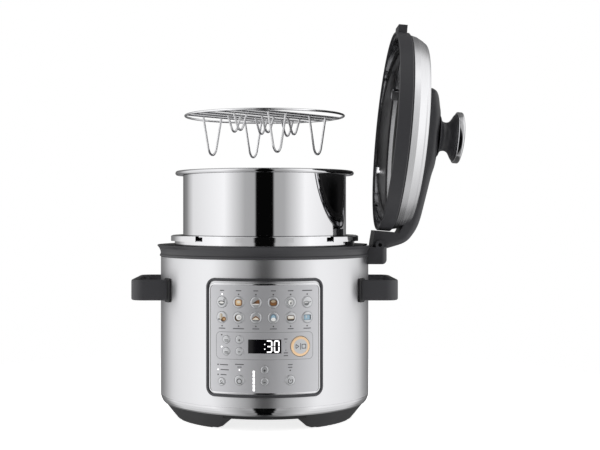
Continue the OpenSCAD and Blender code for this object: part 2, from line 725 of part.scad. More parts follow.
module knob_cap() color("gainsboro") opened() rotate_extrude() polygon([
    [0, stem_z + 23.3], [cap_r - 1, stem_z + 23.3], [cap_r, stem_z + 24.3],
    [cap_r, stem_z + 29.6], [cap_r - 0.5, stem_z + 30.6], [cap_r - 2, stem_z + 31.4],
    [cap_r * 0.75, stem_z + 33.4], [cap_r * 0.5, stem_z + 34.8],
    [cap_r * 0.25, stem_z + 35.6], [0, stem_z + 35.9]]);

module lock_ring() color("silver") opened() {
    ring(lock_r, lock_r + lock_wall, lug_z - 0.5, seam_z + 0.2);
    for (i = [0:lugs - 1]) rotate([0, 0, i * 360 / lugs - lug_arc / 2])
        rotate_extrude(angle = lug_arc) translate([lug_in, lug_z])
            square([lock_r - lug_in + 0.5, lug_h]);
    for (i = [0:spokes - 1]) rotate([0, 0, spoke_turn + i * 360 / spokes]) {
        // step over the flange, riser beside the seal, then the spoke to the hub
        intersection() {
            ring(inner_plate_r + 0.8, lock_r + 0.7, flange_top + 0.6, seam_z + 0.2);
            translate([lock_r - 20, -spoke_w / 2, 0]) cube([40, spoke_w, 500]);
        }
        intersection() {
            ring(inner_plate_r + 0.8, inner_plate_r + 2.2, flange_top + 0.6, spoke_z + spoke_t);
            translate([lock_r - 20, -spoke_w / 2, 0]) cube([40, spoke_w, 500]);
        }
        intersection() {
            ring(10, inner_plate_r + 1.6, spoke_z, spoke_z + spoke_t);
            translate([0, -spoke_w / 2, 0]) cube([200, spoke_w, 500]);
        }
    }
    translate([0, 0, spoke_z]) cylinder(r = 16, h = spoke_t + 2.9);
}

module pressure_indicator() color("white") opened() translate([indicator_x, 0, 0]) {
    translate([0, 0, inner_plate_z + 8]) cylinder(r = indicator_r,
        h = cover_top - inner_plate_z - 9.6);
    translate([0, 0, seal_z]) cylinder(r = 3, h = 13, $fn = small_fn);
    translate([0, 0, inner_plate_z - indicator_travel - 2.4])
        cylinder(r = 6, h = 2, $fn = small_fn);
}

module steam_valve() color("dimgray") opened() translate([valve_x, valve_y, 0]) {
    translate([0, 0, cover_top - 3]) cylinder(r1 = valve_r, r2 = valve_r - 1.5, h = 9);
    translate([0, 0, inner_plate_z - 1.5])
        cylinder(r = valve_stem_r, h = cover_top - inner_plate_z - 1, $fn = small_fn);
}

// ---- pot and rack, drawn raised ----

module inner_pot() color("silver") translate([0, 0, pot_bottom + pot_lift]) rotate_extrude()
    polygon([
        [0, 0], [pot_r - 7, 0], [pot_r - 3.5, 0.9], [pot_r - 0.9, 3.5], [pot_r, 7],
        [pot_r, pot_h - 4], [pot_r + 0.8, pot_h - 2.4], [pot_r + 2.4, pot_h - 1.6],
        [rim_r - 3.6, pot_h - 1.4], [rim_r - 2, pot_h - 2], [rim_r - 1.4, pot_h - 3.2],
        [rim_r - 2, pot_h - 4.4], [rim_r - 3.2, pot_h - 5.2], [rim_r - 3.2, pot_h - rim_h + 0.1],
        [rim_r - 1.6, pot_h - rim_h + 0.2], [rim_r - 0.4, pot_h - 4.6], [rim_r, pot_h - 3],
        [rim_r - 0.6, pot_h - 1.2], [rim_r - 2.4, pot_h], [pot_r + 1, pot_h - 0.4],
        [pot_r - pot_wall, pot_h - 3], [pot_r - pot_wall, 7],
        [pot_r - pot_wall - 0.9, 4.2], [pot_r - 5, 2.2], [pot_r - 8, 1.4], [0, 1.4]]);

rack_r = pot_r - pot_wall - 0.6 - wire_d / 2;
rack_turn = 48;
leg_n = 60;
leg_u = 42;
loop_n = 14;

// A wire bent down to a round foot, w wide at the top
module hanging_loop(u, n, w, h) {
    r = wire_d / 2;
    foot = w * 0.2;
    pts = [[u - w / 2, n, 0], [u - foot, n, -h + foot * 0.8], [u - foot * 0.4, n, -h],
        [u + foot * 0.4, n, -h], [u + foot, n, -h + foot * 0.8], [u + w / 2, n, 0]];
    for (i = [0:len(pts) - 2]) rod(pts[i], pts[i + 1], r);
}

module wire_rack() color("gainsboro")
    translate([0, 0, pot_bottom + 1.4 + gap + leg_h + wire_d / 2 + rack_lift]) {
        rotate_extrude($fn = 72) translate([rack_r, 0]) circle(r = wire_d / 2, $fn = 8);
        rotate([0, 0, rack_turn]) {
            for (n = [-leg_n, -37, -loop_n, loop_n, 37, leg_n])
                rod([-sqrt(rack_r * rack_r - n * n), n, 0], [sqrt(rack_r * rack_r - n * n), n, 0],
                    wire_d / 2);
            for (u = [-leg_u, leg_u], n = [-leg_n, leg_n]) hanging_loop(u, n, 36, leg_h);
            for (u = [-64, -9, 46]) hanging_loop(u, -loop_n, 26, loop_h);
            for (u = [-46, 9, 64]) hanging_loop(u, loop_n, 26, loop_h);
        }
    }

outer_shell();
chrome_base_ring();
base_tub();
foot_pads();
collar();
pot_well();
locking_flange();
heating_plate();
heating_element();
sensor_spring();
sensor_plunger();
handle_left();
handle_right();
hinge_pin();
panel_frame();
faceplate();
display();
panel_lamps();
switch_carrier();
control_board();
power_board();
inlet_socket();
base_screws();
condensation_cup();
lid_arm();
lid_cover();
lid_ring();
pressure_plate();
lid_gasket();
lid_posts();
knob_stem();
knob_cap();
lock_ring();
pressure_indicator();
steam_valve();
inner_pot();
wire_rack();
for (b = BUTTONS) button(b);
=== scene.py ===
# Electric pressure cooker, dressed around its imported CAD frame.
import json
import math

import bmesh
import bpy
from mathutils import Matrix, Vector


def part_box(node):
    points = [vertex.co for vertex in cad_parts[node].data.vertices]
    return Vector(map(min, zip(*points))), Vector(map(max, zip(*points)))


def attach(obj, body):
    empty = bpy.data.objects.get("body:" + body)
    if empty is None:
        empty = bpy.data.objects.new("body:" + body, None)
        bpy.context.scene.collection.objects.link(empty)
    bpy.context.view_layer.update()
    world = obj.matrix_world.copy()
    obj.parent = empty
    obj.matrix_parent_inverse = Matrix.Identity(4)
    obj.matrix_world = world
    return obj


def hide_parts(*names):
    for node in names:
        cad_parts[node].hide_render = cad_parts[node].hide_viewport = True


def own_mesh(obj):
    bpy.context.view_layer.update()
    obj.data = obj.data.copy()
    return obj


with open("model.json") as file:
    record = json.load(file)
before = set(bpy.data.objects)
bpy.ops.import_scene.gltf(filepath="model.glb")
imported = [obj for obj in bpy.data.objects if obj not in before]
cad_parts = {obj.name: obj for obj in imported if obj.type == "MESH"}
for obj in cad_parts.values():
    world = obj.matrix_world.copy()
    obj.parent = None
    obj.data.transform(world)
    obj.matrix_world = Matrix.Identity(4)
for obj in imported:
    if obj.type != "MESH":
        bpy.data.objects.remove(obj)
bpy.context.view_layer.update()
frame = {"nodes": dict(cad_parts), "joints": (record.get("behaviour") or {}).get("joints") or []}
nodes = frame["nodes"]
MM = 0.001

# ---------------------------------------------------------------------------------------------
# Studio: a white sweep with two tall side softboxes, and a narrow black flag in front that
# polished metal picks up as a dark band. The lens stands level with the cooker's rim.
camera_distance = 1.519
camera_height = 0.2763
lens_mm = 65.8
frame_shift = (0.059, -0.0187)

scene = bpy.context.scene
scene.view_settings.view_transform = "Standard"
camera = bpy.data.objects.new("camera", bpy.data.cameras.new("camera"))
camera.location = (0, -camera_distance, camera_height)
camera.rotation_euler = (math.pi / 2, 0, 0)
camera.data.lens = lens_mm
camera.data.shift_x, camera.data.shift_y = frame_shift
scene.collection.objects.link(camera)
scene.camera = camera


def linear(hex_colour):
    """An sRGB hex colour as the linear RGBA that shaders take."""
    channels = [int(hex_colour[i:i + 2], 16) / 255 for i in (1, 3, 5)]
    curve = [c / 12.92 if c <= 0.04045 else ((c + 0.055) / 1.055) ** 2.4 for c in channels]
    return (*curve, 1)


def add(tree, kind, links=None, **settings):
    """Adds a node; settings are its own fields or its sockets, links feed its sockets."""
    node = tree.nodes.new(kind)
    for name, value in settings.items():
        label = name.replace("_", " ")
        socket = next((s for s in node.inputs if s.name.lower() == label.lower()), None)
        if hasattr(node, name):
            setattr(node, name, value)
        else:
            socket.default_value = value
    for name, source in (links or {}).items():
        tree.links.new(source, node.inputs[name])
    return node


def stops(ramp, points):
    """Fills a colour ramp with (place, grey level) pairs."""
    elements = ramp.color_ramp.elements
    while len(elements) < len(points):
        elements.new(0.5)
    for element, (place, level) in zip(elements, points):
        element.position = place
        element.color = (level, level, level, 1)


world = bpy.data.worlds.new("studio")
world.use_nodes = True
scene.world = world
tree = world.node_tree
tree.nodes.clear()
direction = add(tree, "ShaderNodeTexCoord").outputs["Generated"]
parts = add(tree, "ShaderNodeSeparateXYZ", {"Vector": direction})
side = add(tree, "ShaderNodeMath", {0: parts.outputs["X"]}, operation="ABSOLUTE")
front = add(tree, "ShaderNodeMath", {0: parts.outputs["Y"]}, operation="MULTIPLY")
front.inputs[1].default_value = -1
turn = add(tree, "ShaderNodeMath", {0: side.outputs[0], 1: front.outputs[0]},
           operation="ARCTAN2")
share = add(tree, "ShaderNodeMath", {0: turn.outputs[0]}, operation="DIVIDE")
share.inputs[1].default_value = math.pi
around = add(tree, "ShaderNodeValToRGB", {"Fac": share.outputs[0]})
stops(around, [(0.0, 0.002), (0.062, 0.002), (0.076, 0.4), (0.15, 0.44), (0.24, 0.74),
               (0.32, 1.04), (0.66, 0.8), (0.78, 0.26), (0.9, 0.13), (1.0, 0.1)])
upward = add(tree, "ShaderNodeMath", {0: parts.outputs["Z"]}, operation="ARCSINE")
height = add(tree, "ShaderNodeMath", {0: upward.outputs[0]}, operation="DIVIDE")
height.inputs[1].default_value = math.pi
middle = add(tree, "ShaderNodeMath", {0: height.outputs[0]}, operation="ADD")
middle.inputs[1].default_value = 0.5
risen = add(tree, "ShaderNodeValToRGB", {"Fac": middle.outputs[0]})
stops(risen, [(0.0, 0.3), (0.3, 0.75), (0.5, 1.0), (0.82, 1.0), (0.9, 0.5), (1.0, 0.2)])
room = add(tree, "ShaderNodeMix", {"A": around.outputs[0], "B": risen.outputs[0]},
           data_type="RGBA", blend_type="MULTIPLY")
room.inputs["Factor"].default_value = 1.0
lit = add(tree, "ShaderNodeBackground", {"Color": room.outputs["Result"]}, Strength=1.25)
white = add(tree, "ShaderNodeBackground", Color=(1, 1, 1, 1), Strength=1.0)
seen = add(tree, "ShaderNodeLightPath").outputs["Is Camera Ray"]
mix = add(tree, "ShaderNodeMixShader", {"Fac": seen, 1: lit.outputs[0], 2: white.outputs[0]})
add(tree, "ShaderNodeOutputWorld", {"Surface": mix.outputs[0]})


def finish_material(name, base, rough, metal=0.0, **more):
    """A new material: one Principled shader, returned with its tree for the pattern."""
    made = bpy.data.materials.new(name)
    made.use_nodes = True
    t = made.node_tree
    shader = t.nodes["Principled BSDF"]
    shader.inputs["Base Color"].default_value = linear(base)
    shader.inputs["Roughness"].default_value = rough
    shader.inputs["Metallic"].default_value = metal
    for key, value in more.items():
        shader.inputs[key.replace("_", " ")].default_value = value
    return made, t, shader


def glow(shader, colour, strength):
    """Makes a finish give a little light of its own."""
    shader.inputs["Emission Color"].default_value = linear(colour)
    shader.inputs["Emission Strength"].default_value = strength


floor_mesh = bpy.data.meshes.new("studio_floor")
span = 1.2
floor_mesh.from_pydata([(-span, -span, 0), (span, -span, 0), (span, span, 0), (-span, span, 0)],
                       [], [(0, 1, 2, 3)])
studio_floor = bpy.data.objects.new("studio_floor", floor_mesh)
scene.collection.objects.link(studio_floor)
# matt paper with a little light of its own; it fades out around the cooker into the white room,
# and polished metal looks through it at the softboxes
paper, t, shader = finish_material("white_paper_sweep", "#f4f4f4", 0.9)
glow(shader, "#ffffff", 0.8)
spot = add(t, "ShaderNodeTexCoord").outputs["Object"]
reach = add(t, "ShaderNodeVectorMath", {"Vector": spot}, operation="LENGTH")
fade = add(t, "ShaderNodeMapRange", {"Value": reach.outputs["Value"]})
fade.inputs["From Min"].default_value = 0.22
fade.inputs["From Max"].default_value = 0.7
glossy = add(t, "ShaderNodeLightPath").outputs["Is Glossy Ray"]
clear = add(t, "ShaderNodeMath", {0: fade.outputs[0], 1: glossy}, operation="MAXIMUM")
gone = add(t, "ShaderNodeBsdfTransparent")
blend = add(t, "ShaderNodeMixShader", {"Fac": clear.outputs[0], 1: shader.outputs[0],
                                       2: gone.outputs[0]})
t.links.new(blend.outputs[0], t.nodes["Material Output"].inputs["Surface"])
floor_mesh.materials.append(paper)


# ---------------------------------------------------------------------------------------------
# Outer shell: 0.8 mm stainless sheet rolled to a drum and brushed round and round. The scratches
# smear reflections up and down, so the softboxes and the flag show as soft upright bands.
def dress(names, material):
    """Gives CAD nodes a finish."""
    for name in names:
        for index in range(max(1, len(nodes[name].material_slots))):
            if not nodes[name].material_slots:
                nodes[name].data.materials.append(material)
            nodes[name].material_slots[index].material = material


def brushing(t, shader, along, pitch_mm, rough, spread, depth, turn=(0, 0, 0)):
    """Fine parallel scratches: noise drawn out along the brushing direction."""
    where = add(t, "ShaderNodeTexCoord").outputs["Object"]
    scale = 1 / (pitch_mm * MM)
    placed = add(t, "ShaderNodeMapping", {"Vector": where}, vector_type="TEXTURE")
    placed.inputs["Rotation"].default_value = turn
    drawn = add(t, "ShaderNodeMapping", {"Vector": placed.outputs[0]})
    drawn.inputs["Scale"].default_value = [4.0 if axis == along else scale for axis in "XYZ"]
    if along == "ring":
        drawn.inputs["Scale"].default_value = (3.0, 3.0, scale)
    scratches = add(t, "ShaderNodeTexNoise", {"Vector": drawn.outputs[0]}, Scale=1.0,
                    Detail=3.0, Roughness=0.7)
    spreader = add(t, "ShaderNodeMapRange", {"Value": scratches.outputs["Fac"]})
    spreader.inputs["To Min"].default_value = rough - spread
    spreader.inputs["To Max"].default_value = rough + spread
    t.links.new(spreader.outputs[0], shader.inputs["Roughness"])
    bump = add(t, "ShaderNodeBump", {"Height": scratches.outputs["Fac"]}, Strength=depth,
               Distance=0.0001)
    t.links.new(bump.outputs[0], shader.inputs["Normal"])


steel_hex = "#e2e2e4"
brushed_steel, t, shader = finish_material("brushed_stainless_steel", steel_hex, 0.38, 1.0)
brushing(t, shader, "ring", 0.5, 0.38, 0.05, 0.12)
shader.inputs["Anisotropic"].default_value = 0.75
shader.inputs["Anisotropic Rotation"].default_value = 0.25
tangent = add(t, "ShaderNodeTangent", direction_type="RADIAL", axis="Z")
t.links.new(tangent.outputs[0], shader.inputs["Tangent"])
dress(["outer_shell"], brushed_steel)

# ---------------------------------------------------------------------------------------------
# Bright trim: the ring under the shell, the locking flange, the lock ring and small steel parts
# are buffed and plated, so they mirror the room in hard bright and dark strips.
polished_steel, t, shader = finish_material("polished_steel", "#e2e2e4", 0.05, 1.0)
dress(["chrome_base_ring", "locking_flange", "lock_ring", "hinge_pin", "base_screws",
       "lid_posts", "sensor_spring"], polished_steel)

# ---------------------------------------------------------------------------------------------
# Dark mouldings: glass-filled nylon, satin from the tool, nearly neutral charcoal. The tool's fine
# grain, drawn a little coarser than real so that it shows, breaks up the highlights.
def grain(t, shader, size_mm, depth):
    """The fine even texture of a moulding tool."""
    where = add(t, "ShaderNodeTexCoord").outputs["Object"]
    noise = add(t, "ShaderNodeTexNoise", {"Vector": where}, Scale=1 / (size_mm * MM), Detail=2.0)
    bump = add(t, "ShaderNodeBump", {"Height": noise.outputs["Fac"]}, Strength=depth,
               Distance=0.0001)
    t.links.new(bump.outputs[0], shader.inputs["Normal"])


charcoal, t, shader = finish_material("satin_charcoal_nylon", "#3f3f42", 0.36)
grain(t, shader, 0.5, 0.08)
dress(["collar", "lid_ring", "inlet_socket", "steam_valve"], charcoal)
black_base, t, shader = finish_material("black_base_polypropylene", "#1c1c1e", 0.45)
grain(t, shader, 0.7, 0.12)
dress(["base_tub", "foot_pads"], black_base)

# ---------------------------------------------------------------------------------------------
# Inner parts: a spun aluminium well, a cast heating plate, solder-resisted boards and the lid's
# silicone seal and steel pressure plate; the plate's near-black colour is painted shade and
# painted reflection of the lid's dark inside.
spun_aluminium, t, shader = finish_material("spun_aluminium", "#b9babc", 0.35, 1.0)
brushing(t, shader, "ring", 0.6, 0.35, 0.08, 0.15)
dress(["pot_well", "heating_plate", "heating_element", "sensor_plunger"], spun_aluminium)


def joint(name):
    """A joint's row in the frame."""
    return next(j for j in frame["joints"] if j["name"] == name)


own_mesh(nodes["sensor_spring"])
pressed_steel, t, shader = finish_material("pressed_stainless_steel", "#cfcfd1", 0.16, 1.0)
brushing(t, shader, "X", 0.5, 0.16, 0.05, 0.08)
dress(["condensation_cup"], pressed_steel)
# the steel pressure plate painted near-black: painted shade and painted reflection of the dark
# inside of the lid
plate_painted_shade, t, shader = finish_material("pressure_plate_painted_dark", "#121213", 0.3, 0.6)
grain(t, shader, 0.6, 0.06)
dress(["pressure_plate"], plate_painted_shade)
board_green, t, shader = finish_material("solder_resist", "#12572c", 0.4)
grain(t, shader, 1.2, 0.2)
dress(["switch_carrier", "control_board", "power_board"], board_green)
silicone, t, shader = finish_material("black_silicone", "#0e0e0f", 0.5)
grain(t, shader, 0.8, 0.1)
dress(["lid_gasket"], silicone)

# ---------------------------------------------------------------------------------------------
# Lid cover: a drawn stainless cap, brushed along its rim in the lid's own plane, so its bands of
# light run across the scratches as the lid stands open.
lid_open = math.radians(95)
cover_steel, t, shader = finish_material("brushed_lid_steel", steel_hex, 0.26, 1.0)
brushing(t, shader, "ring", 0.5, 0.26, 0.06, 0.12, turn=(0, lid_open, 0))
dress(["lid_cover"], cover_steel)

# ---------------------------------------------------------------------------------------------
# Lid arm: one thick moulded spine over the cover, from beyond the knob down to the hinge. Its
# edges are rolled over, so they catch a soft line of light.
hinge = Vector(joint("lid_hinge")["pos_m"])
seam = hinge.z + 15 * MM
arm_width = 56 * MM
arm_edge = 9 * MM
# where the arm's top goes, seen from the side: distance from the lid's axis, height above the
# lid's seam, the same for its underside, and its share of the full width
arm_stations = [
    ((-64, 32.2), (-62, 26), 0.66), ((-63.4, 41.2), (-60, 27), 0.72),
    ((-57, 47.8), (-52, 28), 0.88), ((-40, 51.6), (-40, 29), 0.98), ((-22, 53.8), (-22, 30), 1),
    ((33, 52.3), (33, 29), 1), ((58, 47.6), (58, 27), 1), ((91, 42.2), (91, 24), 1),
    ((116, 38), (112, 20), 1), ((129, 34.2), (124, 16), 1), ((138, 29.6), (131, 13), 1),
    ((146, 24), (137.7, 10), 1), ((151.6, 17), (137.7, 6), 1), ((156, 7.4), (137.7, 1), 1),
    ((161, -6), (137.7, -8), 1), ((163.2, -17), (137.7, -17), 1),
    ((163.2, -24.5), (137.7, -23), 1)]


def closed_to_open(point):
    """Swings a point of the closed lid to where the lid stands open."""
    return hinge + Matrix.Rotation(lid_open, 3, "Y") @ (Vector(point) - hinge)


def smooth_path(points, steps):
    """A Catmull-Rom curve through points, with so many steps between two of them."""
    line = [Vector(p) for p in points]
    line = [line[0] * 2 - line[1], *line, line[-1] * 2 - line[-2]]
    out = []
    for a, b, c, d in zip(line, line[1:], line[2:], line[3:]):
        for i in range(steps):
            s = i / steps
            out.append(0.5 * (2 * b + (c - a) * s + (2 * a - 5 * b + 4 * c - d) * s * s
                              + (3 * b - a - 3 * c + d) * s ** 3))
    return [*out, line[-2]]


def piece(name, bm, materials, crease=32):
    """Turns a bmesh into an object with outward faces and sharp edges past the crease angle."""
    bmesh.ops.remove_doubles(bm, verts=bm.verts, dist=1e-6)
    bmesh.ops.recalc_face_normals(bm, faces=bm.faces)
    for face in bm.faces:
        face.smooth = True
    for edge in bm.edges:
        edge.smooth = len(edge.link_faces) == 2 and edge.calc_face_angle(0) < math.radians(crease)
    mesh = bpy.data.meshes.new(name)
    bm.to_mesh(mesh)
    bm.free()
    for material in materials:
        mesh.materials.append(material)
    made = bpy.data.objects.new(name, mesh)
    scene.collection.objects.link(made)
    return made


def skin(bm, rows, loop=True, caps=True, index=0):
    """Joins equal rows of points with quads; loop closes each row on itself."""
    rings = [[bm.verts.new(p) for p in row] for row in rows]
    count = len(rings[0])
    for one, two in zip(rings, rings[1:]):
        for i in range(count if loop else count - 1):
            face = bm.faces.new((one[i], one[(i + 1) % count], two[(i + 1) % count], two[i]))
            face.material_index = index
    if caps:
        bm.faces.new(rings[0]).material_index = index
        bm.faces.new(rings[-1]).material_index = index
    return rings


tops = smooth_path([s[0] for s in arm_stations], 5)
bottoms = smooth_path([s[1] for s in arm_stations], 5)
widths = smooth_path([(s[2], 0) for s in arm_stations], 5)
rows = []
for i, (top, bottom, width) in enumerate(zip(tops, bottoms, widths)):
    ahead, behind = tops[min(i + 1, len(tops) - 1)], tops[max(i - 1, 0)]
    along = (ahead - behind).normalized()
    inward = Vector((along.y, -along.x))
    half = arm_width * width.x / 2
    edge = min(arm_edge, (top - bottom).length * 0.45 * MM)
    section = [(-half, None)]
    for k in range(7):
        a = math.radians(90 * k / 6)
        section.append((-half + edge * (1 - math.cos(a)), edge * (1 - math.sin(a))))
    section += [(-v, d) for v, d in reversed(section[:])]
    row = []
    for v, d in section:
        p = bottom * MM if d is None else top * MM + inward * d
        row.append(closed_to_open((p.x, v, seam + p.y)))
    rows.append(row)
bm = bmesh.new()
skin(bm, rows)
arm = piece("lid_arm_moulding", bm, [charcoal], 40)
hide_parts("lid_arm")
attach(arm, "lid")


def lathe(bm, profile, turn=lambda p: p, steps=144, index=0):
    """Turns a profile of (radius, height) points in metres round the Z axis."""
    rows = []
    for i in range(steps):
        a = 2 * math.pi * i / steps
        rows.append([turn((r * math.cos(a), r * math.sin(a), z)) for r, z in profile])
    skin(bm, [*rows, rows[0]], loop=False, caps=False, index=index)


def fillet(points, radius, steps=4):
    """Rounds the inner corners of an open outline; radius may be one number or one for each."""
    radii = radius if isinstance(radius, (list, tuple)) else [radius] * len(points)
    out = [Vector(points[0])]
    for a, b, c, r in zip(points, points[1:], points[2:], radii[1:]):
        a, b, c = Vector(a), Vector(b), Vector(c)
        into, away = (a - b), (c - b)
        cut = min(r, into.length * 0.48, away.length * 0.48)
        p, q = b + into.normalized() * cut, b + away.normalized() * cut
        for k in range(steps + 1):
            s = k / steps
            out.append(p * (1 - s) ** 2 + b * 2 * s * (1 - s) + q * s * s)
    return [*out, Vector(points[-1])]


# hinge barrel: the black knuckle that turns on the pin
barrel_radius = 6.2 * MM
bm = bmesh.new()
barrel = fillet([(0, -arm_width / 2), (barrel_radius, -arm_width / 2),
                 (barrel_radius, arm_width / 2), (0, arm_width / 2)], 0.6 * MM)
lathe(bm, [tuple(p) for p in barrel],
      lambda p: hinge + Vector((p[0], p[2], p[1])), 48)
knuckle = piece("hinge_knuckle", bm, [black_base])
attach(knuckle, "lid")

# ---------------------------------------------------------------------------------------------
# Knob: a waisted nylon stem under a plated cap with a flat band round its rim. It turns with the
# lock ring.
knob_foot = seam + 54.4 * MM
stem_outline = [(0, 0.2), (29, 0.2), (28.4, 1.4), (23.6, 2.9), (20.8, 5), (19.8, 8), (19.8, 11.6),
                (21.2, 14.6), (25, 17.6), (30.6, 20.6), (33.4, 23.3), (0, 23.3)]
bm = bmesh.new()
stem = fillet([(r * MM, knob_foot + z * MM) for r, z in stem_outline], 2.4 * MM, 5)
lathe(bm, [tuple(p) for p in stem], closed_to_open, 96)
knob_neck = piece("knob_neck", bm, [charcoal])
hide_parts("knob_stem")
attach(knob_neck, "lock")
cap_outline = [(0, 23.4), (34.7, 23.4), (35.5, 24.4), (35.5, 30), (34.9, 31.2), (29, 33.2),
               (18, 34.8), (8, 35.6), (0, 35.8)]
bm = bmesh.new()
cap = fillet([(r * MM, knob_foot + z * MM) for r, z in cap_outline],
             [0, 0.5 * MM, 0.7 * MM, 0.9 * MM, 1.2 * MM, 4 * MM, 4 * MM, 4 * MM, 0], 4)
lathe(bm, [tuple(p) for p in cap], closed_to_open, 96)
knob_top = piece("knob_cap_plated", bm, [polished_steel])
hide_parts("knob_cap")
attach(knob_top, "lock")

# ---------------------------------------------------------------------------------------------
# Handles: moulded bands that stand off the shell on two arms, with a foot plate at each end
# that follows the drum.
shell_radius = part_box("outer_shell")[1].x
tall, thick, half = 27.5 * MM, 5.5 * MM, 66.5 * MM
bend_radius = 15 * MM
band_edge = 2.3 * MM
plate_w, plate_h, plate_t = 17 * MM, 32 * MM, 2.6 * MM
plate_edge = 0.8 * MM
for side, name in ((1, "handle_right"), (-1, "handle_left")):
    low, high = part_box(name)
    reach = max(abs(low.x), abs(high.x))
    middle = (low.z + high.z) / 2
    start = math.sqrt(shell_radius ** 2 - (half - thick) ** 2) - 1 * MM
    path = fillet([(start, -half + thick / 2), (reach - thick / 2, -half + thick / 2),
                   (reach - thick / 2, half - thick / 2), (start, half - thick / 2)],
                  bend_radius, 10)
    section = []
    for cx, cz, a0 in ((1, 1, 0), (-1, 1, 90), (-1, -1, 180), (1, -1, 270)):
        for k in range(5):
            a = math.radians(a0 + 22.5 * k)
            section.append((cx * (thick / 2 - band_edge) + band_edge * math.cos(a),
                            cz * (tall / 2 - band_edge) + band_edge * math.sin(a)))
    rows = []
    for i, p in enumerate(path):
        along = (path[min(i + 1, len(path) - 1)] - path[max(i - 1, 0)]).normalized()
        across = Vector((along.y, -along.x))
        rows.append([((p.x + across.x * u) * side, p.y + across.y * u, middle + v)
                     for u, v in section])
    bm = bmesh.new()
    skin(bm, rows)
    band = piece(name + "_band", bm, [charcoal])
    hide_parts(name)
    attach(band, "root")
    for end in (-1, 1):
        # foot plate: a shallow pad wrapped round the shell
        centre = math.asin(end * (half - thick / 2) / shell_radius)
        pad = []
        corners = fillet([(0, -plate_h / 2), (plate_w / 2, -plate_h / 2),
                          (plate_w / 2, plate_h / 2), (-plate_w / 2, plate_h / 2),
                          (-plate_w / 2, -plate_h / 2), (0, -plate_h / 2)], 3 * MM, 4)[:-1]
        for inset, lift in ((0, 0), (0, plate_t - plate_edge), (plate_edge, plate_t)):
            row = []
            for c in corners:
                u = c.x * (1 - 2 * inset / plate_w)
                v = c.y * (1 - 2 * inset / plate_h)
                a = centre + u / shell_radius
                r = shell_radius + 0.1 * MM + lift
                row.append((side * r * math.cos(a), r * math.sin(a), middle + v))
            pad.append(row)
        bm = bmesh.new()
        skin(bm, pad)
        foot_plate = piece(f"{name}_foot_{'rear' if end > 0 else 'front'}", bm, [black_base])
        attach(foot_plate, "root")

# ---------------------------------------------------------------------------------------------
# Pot: one deep-drawn stainless shell with a rim that is curled under. Its outside is polished and
# its inside is brushed round and round.
pot_low, pot_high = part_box("inner_pot")
rim = pot_high.x
wall = rim - 11 * MM
top = pot_high.z - pot_low.z
outside = [(0, 0), (wall - 6 * MM, 0), (wall, 6 * MM), (wall, top - 4 * MM),
           (wall + 2.6 * MM, top - 1.6 * MM), (rim - 3.4 * MM, top - 1.4 * MM),
           (rim - 1.4 * MM, top - 3.2 * MM), (rim - 3.2 * MM, top - 5.4 * MM),
           (rim - 2.8 * MM, top - 6.1 * MM), (rim - 1.2 * MM, top - 5.7 * MM),
           (rim, top - 3 * MM), (rim - 1.6 * MM, top - 0.4 * MM), (rim - 4 * MM, top),
           (wall + 1.4 * MM, top - 0.3 * MM), (wall - 0.9 * MM, top - 2.6 * MM)]
inside = [(wall - 0.9 * MM, top - 2.6 * MM), (wall - 0.9 * MM, 8 * MM),
          (wall - 7 * MM, 1.5 * MM), (0, 1.5 * MM)]
# the mirror shows the studio as hard upright bands; the brushed inside smears them sideways
mirror_steel, t, shader = finish_material("mirror_stainless_steel", "#dcdcde", 0.04, 1.0)
brushed_inside, t, shader = finish_material("brushed_pot_inside", "#cfcfd1", 0.22, 1.0)
brushing(t, shader, "ring", 0.6, 0.22, 0.05, 0.1)
bm = bmesh.new()
outer = fillet(outside, [0, 4 * MM, 4 * MM, 3 * MM, 1.5 * MM, *[1.2 * MM] * 9, 0], 5)
lathe(bm, [(p.x, pot_low.z + p.y) for p in outer], steps=192)
inner = fillet(inside, 5 * MM, 5)
lathe(bm, [(p.x, pot_low.z + p.y) for p in inner], steps=192, index=1)
pot = piece("inner_pot_drawn", bm, [mirror_steel, brushed_inside])
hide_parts("inner_pot")
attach(pot, "pot")

# ---------------------------------------------------------------------------------------------
# Wire rack: bright-plated spring wire, six straight rods welded under a ring, with four tall legs
# and six short loops bent from the same wire. The nodes sweep the wire along its centre lines.
# bright nickel, a little softer than the pot's mirror
plated_wire, t, shader = finish_material("plated_rack_wire", "#f1f1f3", 0.22, 1.0)
rack_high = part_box("wire_rack")[1]
wire_radius = 1.5 * MM
ring_reach = rack_high.x - wire_radius
rack_level = rack_high.z - wire_radius
rack_turn = math.radians(48)
rods_at = [-60, -37, -14, 14, 37, 60]
legs = [(u, n, 36, 53) for u in (-42, 42) for n in (-60, 60)]
loops = [(u, -14, 26, 23) for u in (-64, -9, 46)] + [(u, 14, 26, 23) for u in (-46, 9, 64)]


def on_rack(u, n, drop=0):
    """A point of the rack: along the rods, across them, and how far it hangs."""
    c, s = math.cos(rack_turn), math.sin(rack_turn)
    return Vector((u * c - n * s, u * s + n * c, rack_level - drop))


ring_steps = 144
centre_lines = [[Vector((ring_reach * math.cos(a), ring_reach * math.sin(a), rack_level))
                 for a in (2 * math.pi * k / ring_steps for k in range(ring_steps))]]
for n in rods_at:
    half = math.sqrt(ring_reach ** 2 - (n * MM) ** 2)
    centre_lines.append([on_rack(-half, n * MM), on_rack(half, n * MM)])
for u, n, w, h in legs + loops:
    foot = w * 0.2
    bend = fillet([(u - w / 2, 0), (u - foot, h - foot * 0.8), (u - foot * 0.4, h),
                   (u + foot * 0.4, h), (u + foot, h - foot * 0.8), (u + w / 2, 0)], 5, 5)
    centre_lines.append([on_rack(p.x * MM, n * MM, p.y * MM) for p in bend])
lines = bpy.data.meshes.new("rack_centre_lines")
points, edges = [], []
for number, line in enumerate(centre_lines):
    first = len(points)
    points += [tuple(p) for p in line]
    edges += [(first + k, first + k + 1) for k in range(len(line) - 1)]
    if number == 0:
        edges.append((first + len(line) - 1, first))
lines.from_pydata(points, edges, [])


